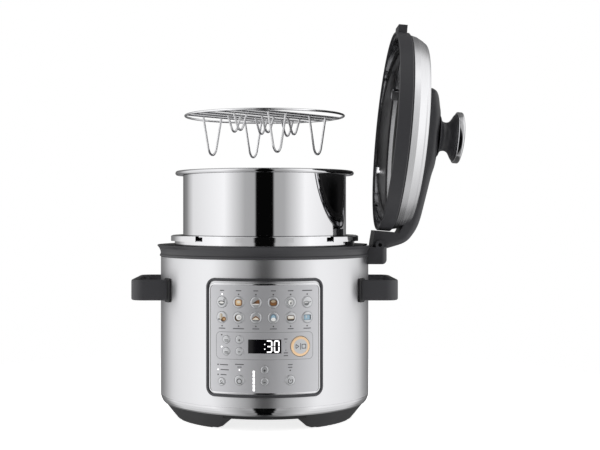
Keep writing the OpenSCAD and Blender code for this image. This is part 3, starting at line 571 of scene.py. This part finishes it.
def grow(name, mesh, build, settings, body, smooth=True):
    """Runs a node tree on a mesh, keeps what it makes as a plain mesh, and hangs it on a body."""
    tree = bpy.data.node_groups.new(name + "_nodes", "GeometryNodeTree")
    tree.interface.new_socket("Geometry", in_out="OUTPUT", socket_type="NodeSocketGeometry")
    tree.interface.new_socket("Geometry", in_out="INPUT", socket_type="NodeSocketGeometry")
    for label, (kind, value) in settings.items():
        tree.interface.new_socket(label, in_out="INPUT", socket_type=kind)
    inputs, outputs = add(tree, "NodeGroupInput"), add(tree, "NodeGroupOutput")
    geometry, material = build(tree, inputs)
    real = add(tree, "GeometryNodeRealizeInstances", {"Geometry": geometry})
    dressed = add(tree, "GeometryNodeSetMaterial", {"Geometry": real.outputs[0]},
                  Material=material)
    tree.links.new(dressed.outputs[0], outputs.inputs[0])
    grower = bpy.data.objects.new(name + "_grower", mesh)
    scene.collection.objects.link(grower)
    modifier = grower.modifiers.new("grow", "NODES")
    modifier.node_group = tree
    for item in tree.interface.items_tree:
        if item.in_out == "INPUT" and item.name in settings:
            modifier[item.identifier] = settings[item.name][1]
    shown = grower.evaluated_get(bpy.context.evaluated_depsgraph_get())
    grown = bpy.data.meshes.new_from_object(shown)
    bpy.data.objects.remove(grower)
    for face in grown.polygons:
        face.use_smooth = smooth
    made = bpy.data.objects.new(name, grown)
    scene.collection.objects.link(made)
    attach(made, body)
    return made


def sweep_wire(tree, inputs):
    """Wire of one gauge along every centre line."""
    path = add(tree, "GeometryNodeMeshToCurve", {"Mesh": inputs.outputs["Geometry"]})
    gauge = add(tree, "GeometryNodeCurvePrimitiveCircle",
                {"Radius": inputs.outputs["Wire Radius"], "Resolution": inputs.outputs["Sides"]})
    swept = add(tree, "GeometryNodeCurveToMesh",
                {"Curve": path.outputs[0], "Profile Curve": gauge.outputs[0]}, Fill_Caps=True)
    return swept.outputs[0], plated_wire


rack = grow("wire_rack_plated", lines, sweep_wire,
            {"Wire Radius": ("NodeSocketFloat", wire_radius), "Sides": ("NodeSocketInt", 14)},
            "rack")
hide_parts("wire_rack")

# ---------------------------------------------------------------------------------------------
# Panel frame and bright edge: a dark moulded surround, and the faceplate's own diamond-cut bevel,
# both swept round the plate's outline on the shell's curve.
# the frame is dark and half glossy; the plate's fine upright brushing spreads light sideways
frame_dark, t, shader = finish_material("dark_anodised_frame", "#4a4a4d", 0.3, 0.6)
faceplate_silver, t, shader = finish_material("anodised_faceplate", "#cbcbce", 0.38, 0.65)
brushing(t, shader, "Z", 0.35, 0.38, 0.04, 0.05)
dress(["faceplate"], faceplate_silver)
panel_low, panel_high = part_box("faceplate")
face_radius = -panel_low.y
panel_z = (panel_low.z + panel_high.z) / 2


def on_panel(along, height, lift):
    """A point on the curved panel: distance along it, height, and lift off the faceplate."""
    a = along / shell_radius
    r = face_radius + lift
    return Vector((r * math.sin(a), -r * math.cos(a), height))


def panel_outline(half_chord, half_height, corner, middle):
    """The rounded outline of a plate on the panel, as points along and up it."""
    half = math.asin(half_chord / face_radius) * shell_radius
    points = []
    for cx, cz, a0 in ((1, -1, 270), (1, 1, 0), (-1, 1, 90), (-1, -1, 180)):
        for k in range(9):
            a = math.radians(a0 + 11.25 * k)
            points.append(Vector((cx * (half - corner) + corner * math.cos(a),
                                  middle + cz * (half_height - corner) + corner * math.sin(a))))
    filled = []
    for a, b in zip(points, [*points[1:], points[0]]):
        steps = max(1, int((b - a).length / (4 * MM)))
        filled += [a.lerp(b, k / steps) for k in range(steps)]
    return filled


def panel_bead(name, outline, section, material):
    """Sweeps a section (distance inwards, lift) round an outline on the panel."""
    rows = []
    count = len(outline)
    for i, p in enumerate(outline):
        way = (outline[(i + 1) % count] - outline[i - 1]).normalized()
        inward = Vector((-way.y, way.x))
        rows.append([on_panel(*(p + inward * d), lift) for d, lift in section])
    bm = bmesh.new()
    skin(bm, [*rows, rows[0]], caps=False)
    bead = piece(name, bm, [material], 35)
    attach(bead, "root")
    return bead


frame_low, frame_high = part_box("panel_frame")
frame_outline = panel_outline(frame_high.x, (frame_high.z - frame_low.z) / 2, 12 * MM,
                              (frame_high.z + frame_low.z) / 2)
frame_section = [(d * MM, lift * MM) for d, lift in (
    (0, -1.2), (0, -0.2), (0.35, 0.35), (0.9, 0.65), (1.7, 0.75), (2.7, 0.7), (3.3, 0.45),
    (3.65, 0.0), (3.7, -1.2))]
surround = panel_bead("panel_surround", frame_outline, frame_section, frame_dark)
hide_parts("panel_frame")
plate_outline = panel_outline(panel_high.x, (panel_high.z - panel_low.z) / 2, 8 * MM, panel_z)
bevel_section = [(d * MM, lift * MM) for d, lift in (
    (0.1, -0.8), (0.1, -0.1), (0.5, 0.28), (1.3, 0.42), (1.9, 0.32), (2.3, 0.02), (2.3, -0.8))]
panel_bead("faceplate_bright_bevel", plate_outline, bevel_section, polished_steel)

# ---------------------------------------------------------------------------------------------
# Buttons: silver moulded caps with a flat middle and rolled edges. Each key rides on its own
# switch, and its symbol is printed on the flat.
# satin silver paint over plastic: bright, with soft edges to its highlights
cap_silver, t, shader = finish_material("silver_button_plastic", "#d2d3d5", 0.28, 0.65)
grain(t, shader, 0.4, 0.05)
button_nodes = [n for n in nodes if n.endswith("_button") or n.startswith("preset_button")]
key_of = {n: n.replace("_button", "_key") for n in button_nodes}
flange = 1.1 * MM
cap_rise = 0.9 * MM
centres = {}
for name in button_nodes:
    low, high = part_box(name)
    way_in = joint(key_of[name] + "_press")["axis"]
    aim = math.atan2(-way_in[0], way_in[1])
    centres[name] = (aim * shell_radius, (low.z + high.z) / 2, (high.z - low.z) / 2 - flange)


def on_key(name, x, y, lift):
    """A point on a key's flat top: across, up, and lift off the top."""
    along, height = centres[name][:2]
    a = along / shell_radius
    r = face_radius + cap_rise + lift
    return Vector((r * math.sin(a) + x * math.cos(a), -r * math.cos(a) + x * math.sin(a),
                   height + y))


for name in button_nodes:
    along, height, radius = centres[name]
    profile = [(0, 0), (radius * 0.7, 0)]
    for k in range(1, 8):
        a = math.radians(90 * k / 7)
        profile.append((radius * (0.7 + 0.3 * math.sin(a)), -1.15 * MM * (1 - math.cos(a))))
    profile += [(radius, -3 * MM), (0, -3 * MM)]
    bm = bmesh.new()
    lathe(bm, profile, lambda p, n=name: on_key(n, p[0], p[1], p[2]), 48)
    cap_piece = piece(name + "_cap", bm, [cap_silver])
    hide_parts(name)
    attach(cap_piece, key_of[name])


def prism(bm, outline, place, top, bottom=-0.05 * MM, index=0):
    """A flat mark with a little thickness: an outline placed on a surface."""
    upper = [bm.verts.new(place(p[0], p[1], top)) for p in outline]
    lower = [bm.verts.new(place(p[0], p[1], bottom)) for p in outline]
    count = len(outline)
    faces = [bm.faces.new(upper), bm.faces.new(lower[::-1])]
    for i in range(count):
        faces.append(bm.faces.new((upper[i], lower[i], lower[(i + 1) % count],
                                   upper[(i + 1) % count])))
    for face in faces:
        face.material_index = index


def disc(cx, cy, rx, ry=None, start=0, sweep=360, steps=28):
    """The outline of an ellipse or of a slice of it, in millimetres."""
    ry = ry or rx
    count = steps if sweep < 360 else steps - 1
    return [((cx + rx * math.cos(math.radians(start + sweep * k / steps))) * MM,
             (cy + ry * math.sin(math.radians(start + sweep * k / steps))) * MM)
            for k in range(count + 1)]


def block(cx, cy, w, h, corner=0.4):
    """The outline of a rounded rectangle, in millimetres."""
    corner = min(corner, w / 2, h / 2)
    out = []
    for sx, sy, a0 in ((1, 1, 0), (-1, 1, 90), (-1, -1, 180), (1, -1, 270)):
        for k in range(5):
            a = math.radians(a0 + 22.5 * k)
            out.append(((cx + sx * (w / 2 - corner) + corner * math.cos(a)) * MM,
                        (cy + sy * (h / 2 - corner) + corner * math.sin(a)) * MM))
    return out


def poly(*points):
    """An outline from its corners, in millimetres."""
    return [(x * MM, y * MM) for x, y in points]


def ring_mark(cx, cy, r, width, start=0, sweep=360, steps=32):
    """A ring or an arc as quads, in millimetres."""
    out = []
    for k in range(steps):
        a, b = (math.radians(start + sweep * s / steps) for s in (k, k + 1))
        inner, outer = r - width / 2, r + width / 2
        out.append([((cx + q * math.cos(c)) * MM, (cy + q * math.sin(c)) * MM)
                    for q, c in ((inner, a), (outer, a), (outer, b), (inner, b))])
    return out


def stroke(points, width, radius=0):
    """A line of even width through points, as one outline, in millimetres."""
    path = [Vector(p) for p in points]
    path = fillet(path, radius, 5) if radius else path
    left, right = [], []
    for i, p in enumerate(path):
        before = (p - path[i - 1]).normalized() if i else None
        after = (path[i + 1] - p).normalized() if i + 1 < len(path) else None
        way = ((before or after) + (after or before)).normalized()
        across = Vector((-way.y, way.x))
        reach = width / 2 / max(0.5, across.dot(Vector((-(after or before).y,
                                                        (after or before).x))))
        left.append(p + across * reach)
        right.append(p - across * reach)
    return [(q.x * MM, q.y * MM) for q in [*left, *reversed(right)]]


def ink(name, hex_colour, rough=0.4):
    """A screen-printed ink: an opaque enamel with a faint mottle."""
    made, t, shader = finish_material(name, hex_colour, rough)
    where = add(t, "ShaderNodeTexCoord").outputs["Object"]
    mottle = add(t, "ShaderNodeTexNoise", {"Vector": where}, Scale=1500.0, Detail=1.0)
    spread = add(t, "ShaderNodeMapRange", {"Value": mottle.outputs["Fac"]})
    spread.inputs["To Min"].default_value = rough - 0.08
    spread.inputs["To Max"].default_value = rough + 0.08
    t.links.new(spread.outputs[0], shader.inputs["Roughness"])
    return made


inks = {"dark": ink("print_dark_grey", "#38393b"), "grey": ink("print_grey", "#77797b"),
        "white": ink("print_white", "#f2f1ee"), "cream": ink("print_cream", "#e6dccb"),
        "peach": ink("print_peach", "#dfbd8e"), "brown": ink("print_brown", "#7d5636"),
        "umber": ink("print_umber", "#4c3a2a"), "tan": ink("print_tan", "#b3a48c"),
        "ochre": ink("print_ochre", "#8c5f28"), "blue": ink("print_blue", "#9dbccd"),
        "steel": ink("print_blue_grey", "#6d7f8d"), "fog": ink("print_light_grey", "#cfcfcf"),
        "label": ink("print_label_grey", "#58585b"), "line": ink("print_line_grey", "#8a8a8c")}
pictures = {
    # pot of soup with a ladle
    1: [("dark", stroke([(3.0, 4.2), (3.3, 0.4)], 1.1)),
        ("grey", disc(-0.3, 0.2, 4.3, 4.4, 180, 180)), ("dark", disc(-0.3, 0.2, 4.3, 1.5)),
        ("white", disc(-0.3, -0.6, 3.2, 1.3))],
    # casserole
    2: [("brown", block(0, -0.3, 9.4, 8.6, 2.6)), ("peach", block(0, -0.2, 7, 6.8, 2.4)),
        ("cream", disc(0.3, 0.5, 2.4, 1.6)), ("ochre", block(0, -3.7, 6, 1, 0.4))],
    # slice of pie
    3: [("white", block(0, -2.2, 8.8, 1.1)), ("brown", poly((-4.9, -1.5), (4.8, -1.5), (4.4, 3.2),
        (2.2, 3.3))), ("umber", poly((-4.9, -1.5), (-1.2, -1.5), (1.2, 1.2), (0.2, 1.9)))],
    # loaf
    4: [("umber", block(0, -0.2, 9.6, 8.2, 3)), ("brown", block(0, -0.4, 8, 6.6, 2.6)),
        ("tan", disc(-0.2, 1.6, 2.9, 1.6)), ("ochre", block(0, -2.2, 7, 1.1))],
    # steamer
    5: [("grey", disc(0, 0, 4.5, 4.6)), ("fog", disc(0, -0.2, 3.7, 3.9)),
        ("white", disc(-1, 0, 1.5, 2.6)), ("grey", block(0, -4.6, 5.4, 0.7)),
        ("dark", disc(0, -1, 0.8, 1.5))],
    # pan with a handle
    6: [("grey", disc(-1.4, -0.4, 3.8, 1.7)), ("fog", disc(-1.6, -0.4, 2.9, 1.0)),
        ("grey", stroke([(1.9, -0.3), (5.2, 0.4)], 1.0)),
        ("grey", disc(-1.2, -0.8, 3.8, 3.6, 200, 150))],
    # bottle and jar
    7: [("tan", block(-0.9, 0.6, 3.8, 8.2, 1.3)), ("cream", block(-1.5, 0.8, 1.2, 6.4, 0.5)),
        ("umber", disc(1.4, -3.4, 2.6, 2.3)), ("ochre", disc(3.0, -1.9, 2.7)),
        ("peach", disc(3.3, -2.2, 1.2, 0.9)), ("grey", disc(-3.9, -2.6, 1.2))],
    # bowl of rice
    8: [("grey", disc(0, 0, 4.7)), ("umber", disc(-0.7, -0.6, 4.1)), ("white", disc(0.6, 0.4, 3.5)),
        ("fog", disc(1.1, -0.2, 1.9))],
    # cake
    9: [("brown", poly((-5.2, -2.0), (-3.4, 0.2), (0, 2.6), (3.4, 0.3), (5.4, -2.4), (4.4, -2.6))),
        ("cream", poly((-4.4, -2.4), (-2.6, -0.6), (0, 0.7), (2.6, -0.6), (4.0, -2.4))),
        ("dark", block(0, -2.9, 8, 0.6))],
    # jar of yoghurt
    10: [("steel", disc(0, 0.4, 3.9, 4.4, 0, 180)), ("steel", block(0, -0.9, 7.8, 3.4, 0.8)),
         ("blue", disc(0, 0.5, 2.6, 3.0)), ("white", disc(0, -1.9, 3.0, 2.3)),
         ("grey", block(0, -4.6, 3, 0.7))],
    # stew pot
    11: [("umber", block(0, -0.4, 9.8, 6.8, 2.2)), ("cream", block(0, 0.3, 8, 3.9, 1.4)),
         ("white", block(0, 1.0, 6.6, 1.6, 0.6)), ("dark", block(0, -3.4, 7.2, 1.2, 0.5))],
    # sponge and cloth
    12: [("steel", block(0, 0, 9.6, 7, 1)), ("blue", block(-0.5, -0.2, 7.4, 5.6, 0.8)),
         ("fog", block(-1.4, 0.8, 1.6, 3)), ("dark", block(4, 0.6, 0.9, 4.8, 0.3))],
}
layer = 0.045 * MM
for number, shapes in pictures.items():
    host = f"preset_button_{number}"
    bm = bmesh.new()
    used = []
    for depth, (colour, outline) in enumerate(shapes):
        if colour not in used:
            used.append(colour)
        prism(bm, outline, lambda x, y, lift, n=host: on_key(n, x, y, lift),
              layer * (depth + 1), index=used.index(colour))
    symbol = piece(f"preset_symbol_{number}", bm, [inks[c] for c in used], 20)
    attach(symbol, key_of[host])

# plus, minus, ring and bar symbols on the plain keys
mark_width = 0.9
plain_symbols = {
    "plus_button": [block(0, -0.6, 2.9, mark_width, 0.2), block(0, -0.6, mark_width, 2.9, 0.2)],
    "minus_button": [block(0, -0.6, 2.9, mark_width, 0.2)],
    "up_button": [block(0, -0.8, 2.9, mark_width, 0.2), block(0, -0.8, mark_width, 2.9, 0.2)],
    "down_button": [block(0, -0.8, 2.9, mark_width, 0.2)],
    "pressure_button": ring_mark(0, -1.3, 3.0, 1.0),
    "light_button": [*ring_mark(0, -1.0, 2.9, 0.8, 110, 300), block(0.3, -0.2, 0.8, 2.2, 0.2)],
    "warm_button": [block(0.4, -0.6, 5.6, 0.8, 0.2), block(0.4, -2.2, 5.0, 0.8, 0.2)],
    "delay_button": [block(0.4, -0.6, 5.0, 0.8, 0.2), block(0.4, -2.2, 5.6, 0.8, 0.2)],
    "release_button": [*ring_mark(0.2, 0.4, 1.5, 0.7, 60, 290), block(0.2, -2.4, 5.6, 0.8, 0.2)],
}
for host, outlines in plain_symbols.items():
    bm = bmesh.new()
    for outline in outlines:
        prism(bm, outline, lambda x, y, lift, n=host: on_key(n, x, y, lift), layer)
    symbol = piece(host.replace("_button", "_symbol"), bm, [inks["dark"]], 20)
    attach(symbol, key_of[host])

# ---------------------------------------------------------------------------------------------
# Start key: a warm lit ring round a pale cap, with a printed play and stop sign. The ring is a
# light guide in clear amber plastic, which glows a little.
amber, t, shader = finish_material("lit_amber_ring", "#ecc9a0", 0.35)
glow(shader, "#ecc9a0", 0.1)
start = centres["start_button"]
lit_ring_in = start[2] - 3.1 * MM
bm = bmesh.new()
ring_profile = [(lit_ring_in, -0.3 * MM), (lit_ring_in, 0.12 * MM)]
for k in range(0, 8):
    a = math.radians(90 * k / 7)
    ring_profile.append((lit_ring_in + 0.4 * MM + (start[2] - lit_ring_in - 0.3 * MM) * math.sin(a),
                         0.15 * MM - 1.1 * MM * (1 - math.cos(a))))
ring_profile.append((start[2] + 0.1 * MM, -1.6 * MM))
ring_profile.append((start[2] - 1 * MM, -1.6 * MM))
lathe(bm, [*ring_profile, ring_profile[0]],
      lambda p: on_key("start_button", p[0], p[1], p[2]), 96)
lit_ring = piece("start_lit_ring", bm, [amber])
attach(lit_ring, key_of["start_button"])
bm = bmesh.new()
sign = 2.5
outlines = [stroke([(-6.2, -sign), (-6.2, sign)], 0.8), stroke([(-6.2, sign), (-2.4, 0)], 0.8),
            stroke([(-6.2, -sign), (-2.4, 0)], 0.8), block(0, 0, 0.8, 8.2, 0.2),
            block(4.4, sign, 5.6, 0.8, 0.2), block(4.4, -sign, 5.6, 0.8, 0.2),
            block(4.4 - sign, 0, 0.8, 5.6, 0.2), block(4.4 + sign, 0, 0.8, 5.6, 0.2)]
for outline in outlines:
    prism(bm, outline, lambda x, y, lift: on_key("start_button", x, y, lift), layer)
start_sign = piece("start_symbol", bm, [inks["dark"]], 20)
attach(start_sign, key_of["start_button"])

# ---------------------------------------------------------------------------------------------
# Lamps and print: light guides show as small dots by the keys, five of them lit, with a bar of six
# lit segments. Plain dashes are screen-printed where the keys are named, in dark enamel.
lamp_white, t, shader = finish_material("lit_lamp", "#ffffff", 0.3)
glow(shader, "#ffffff", 1.0)
dress(["pressure_indicator"], lamp_white)
mark_level = panel_z + 1.2 * MM
columns = [(k - 2.5) * 21.8 for k in range(6)]


def marks_mesh(name, places):
    """Points on the panel that carry the turn and the size of the mark set on each."""
    mesh = bpy.data.meshes.new(name)
    mesh.from_pydata([tuple(on_panel(x * MM, mark_level + z * MM, 0)) for x, z, *_ in places],
                     [], [])
    turn = mesh.attributes.new("turn", "FLOAT_VECTOR", "POINT")
    size = mesh.attributes.new("size", "FLOAT_VECTOR", "POINT")
    for i, (x, z, w, h) in enumerate(places):
        turn.data[i].vector = (math.pi / 2, 0, x * MM / shell_radius)
        size.data[i].vector = (w * MM, h * MM, 1)
    return mesh


def set_marks(tree, inputs, mark, material):
    """One mark on each point, with the point's own turn and size."""
    turn = add(tree, "GeometryNodeInputNamedAttribute", data_type="FLOAT_VECTOR", Name="turn")
    size = add(tree, "GeometryNodeInputNamedAttribute", data_type="FLOAT_VECTOR", Name="size")
    euler = add(tree, "FunctionNodeEulerToRotation", {"Euler": turn.outputs["Attribute"]})
    placed = add(tree, "GeometryNodeInstanceOnPoints",
                 {"Points": inputs.outputs["Geometry"], "Instance": mark.outputs["Mesh"],
                  "Rotation": euler.outputs[0], "Scale": size.outputs["Attribute"]})
    return placed.outputs[0], material


def round_marks(material):
    def build(tree, inputs):
        dot = add(tree, "GeometryNodeMeshCylinder",
                  {"Depth": inputs.outputs["Depth"]}, Vertices=20, Radius=0.5)
        return set_marks(tree, inputs, dot, material)
    return build


def flat_marks(material):
    def build(tree, inputs):
        thick = add(tree, "ShaderNodeCombineXYZ", {"Z": inputs.outputs["Depth"]}, X=1.0, Y=1.0)
        dash = add(tree, "GeometryNodeMeshCube", {"Size": thick.outputs[0]})
        return set_marks(tree, inputs, dash, material)
    return build


depth = {"Depth": ("NodeSocketFloat", 0.24 * MM)}
print_depth = {"Depth": ("NodeSocketFloat", 0.08 * MM)}
dot = 1.8
lit_places = [(columns[0], 54.9), (-55, -11.4), (-60, -40.4), (-31.6, -40)]
dark_places = [(x, 54.9) for x in columns[1:]] + [(x, 15) for x in columns]
dark_places += [(-55, 3.6), (32.2, -40.5), (-60, -34.1), (-60, -46.7)]
lit_dots = grow("lamps_lit", marks_mesh("lit_places", [(x, z, dot, dot) for x, z in lit_places]),
                round_marks(lamp_white), depth, "root", smooth=False)
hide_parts("panel_lamps")
grow("lamps_dark", marks_mesh("dark_places", [(x, z, dot, dot) for x, z in dark_places]),
     round_marks(ink("smoked_light_guide", "#454547", 0.3)), depth, "root", smooth=False)
bar = [(-13.5, -42.4 - 4.4 * k, 2.6, 3.4) for k in range(6)]
grow("level_bar_lit", marks_mesh("bar_places", bar), flat_marks(lamp_white), depth, "root",
     smooth=False)
dashes = [(x, 59.6, w) for x, w in zip(columns, (5.5, 7, 6, 6, 7.2, 13.5))]
dashes += [(x, 11.9, w) for x, w in zip(columns, (9, 14.5, 8.5, 8.5, 7.5, 10))]
dashes += [(-52, -34.1, 11), (-51, -40.4, 11), (-52.5, -46.7, 8), (-31.6, -33, 11.5),
           (-31.6, -36.3, 5.5), (32.2, -33.3, 6), (32.2, -36.6, 5.5), (26.6, -1, 4),
           (26.6, -18.4, 5.5), (26.6, -21.8, 5.5)]
grow("printed_dashes", marks_mesh("dash_places", [(x, z, w, 1.15) for x, z, w in dashes]),
     flat_marks(inks["label"]), print_depth, "root", smooth=False)
grow("printed_dots", marks_mesh("dot_places", [(26.6, -4.9, 1.2, 1.2), (26.6, -15, 1.2, 1.2)]),
     round_marks(inks["label"]), print_depth, "root", smooth=False)
group_half = face_radius * math.sin(62.6 * MM / shell_radius)
group_outline = panel_outline(group_half, 17.4 * MM, 6 * MM, mark_level - 9.7 * MM)
line_section = [(d * MM, lift * MM) for d, lift in (
    (0, -0.05), (0, 0.04), (0.55, 0.04), (0.55, -0.05))]
panel_bead("printed_group_line", group_outline, line_section, inks["line"])

# ---------------------------------------------------------------------------------------------
# Display: a smoked lens flush with the faceplate, with white seven-segment figures and a colon
# glowing just behind it.
lens_black, t, shader = finish_material("black_display_lens", "#08080b", 0.12)
dress(["display"], lens_black)
lens_low, lens_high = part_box("display")
lens_z = (lens_low.z + lens_high.z) / 2


def on_display(x, y, lift):
    return on_panel(x, lens_z + y, lift - 0.1 * MM)


segment = 1.45
tall = 7.0
gap_mid = 0.55
figures = []
for left, right, shape in ((2.9, 9.6, "three"), (11.6, 18.6, "zero")):
    a, b = left + segment / 2, right - segment / 2
    if shape == "zero":
        figures.append([(a, gap_mid), (a, tall), (b, tall), (b, gap_mid)])
        figures.append([(a, -gap_mid), (a, -tall), (b, -tall), (b, -gap_mid)])
    else:
        figures.append([(left, tall), (b, tall), (b, gap_mid)])
        figures.append([(left, -tall), (b, -tall), (b, -gap_mid)])
        figures.append([(left + 0.6, 0), (b - segment / 2 - 0.3, 0)])
lit_white, t, shader = finish_material("lit_white_figures", "#ffffff", 0.3)
glow(shader, "#ffffff", 1.0)
bm = bmesh.new()
for path in figures:
    line = [Vector(p) for p in path]
    curve = fillet(line, 1.9, 5) if len(line) > 2 else line
    for p, q in zip(curve, curve[1:]):
        way = (q - p).normalized()
        p, q = p - way * 0.03, q + way * 0.03
        across = Vector((-way.y, way.x)) * segment / 2
        prism(bm, [tuple(v * MM) for v in (p + across, q + across, q - across, p - across)],
              on_display, 0.06 * MM)
for height in (2.8, -3.2):
    prism(bm, disc(0.2, height, 0.75, steps=16), on_display, 0.06 * MM)
digits = piece("display_figures", bm, [lit_white], 20)
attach(digits, "root")
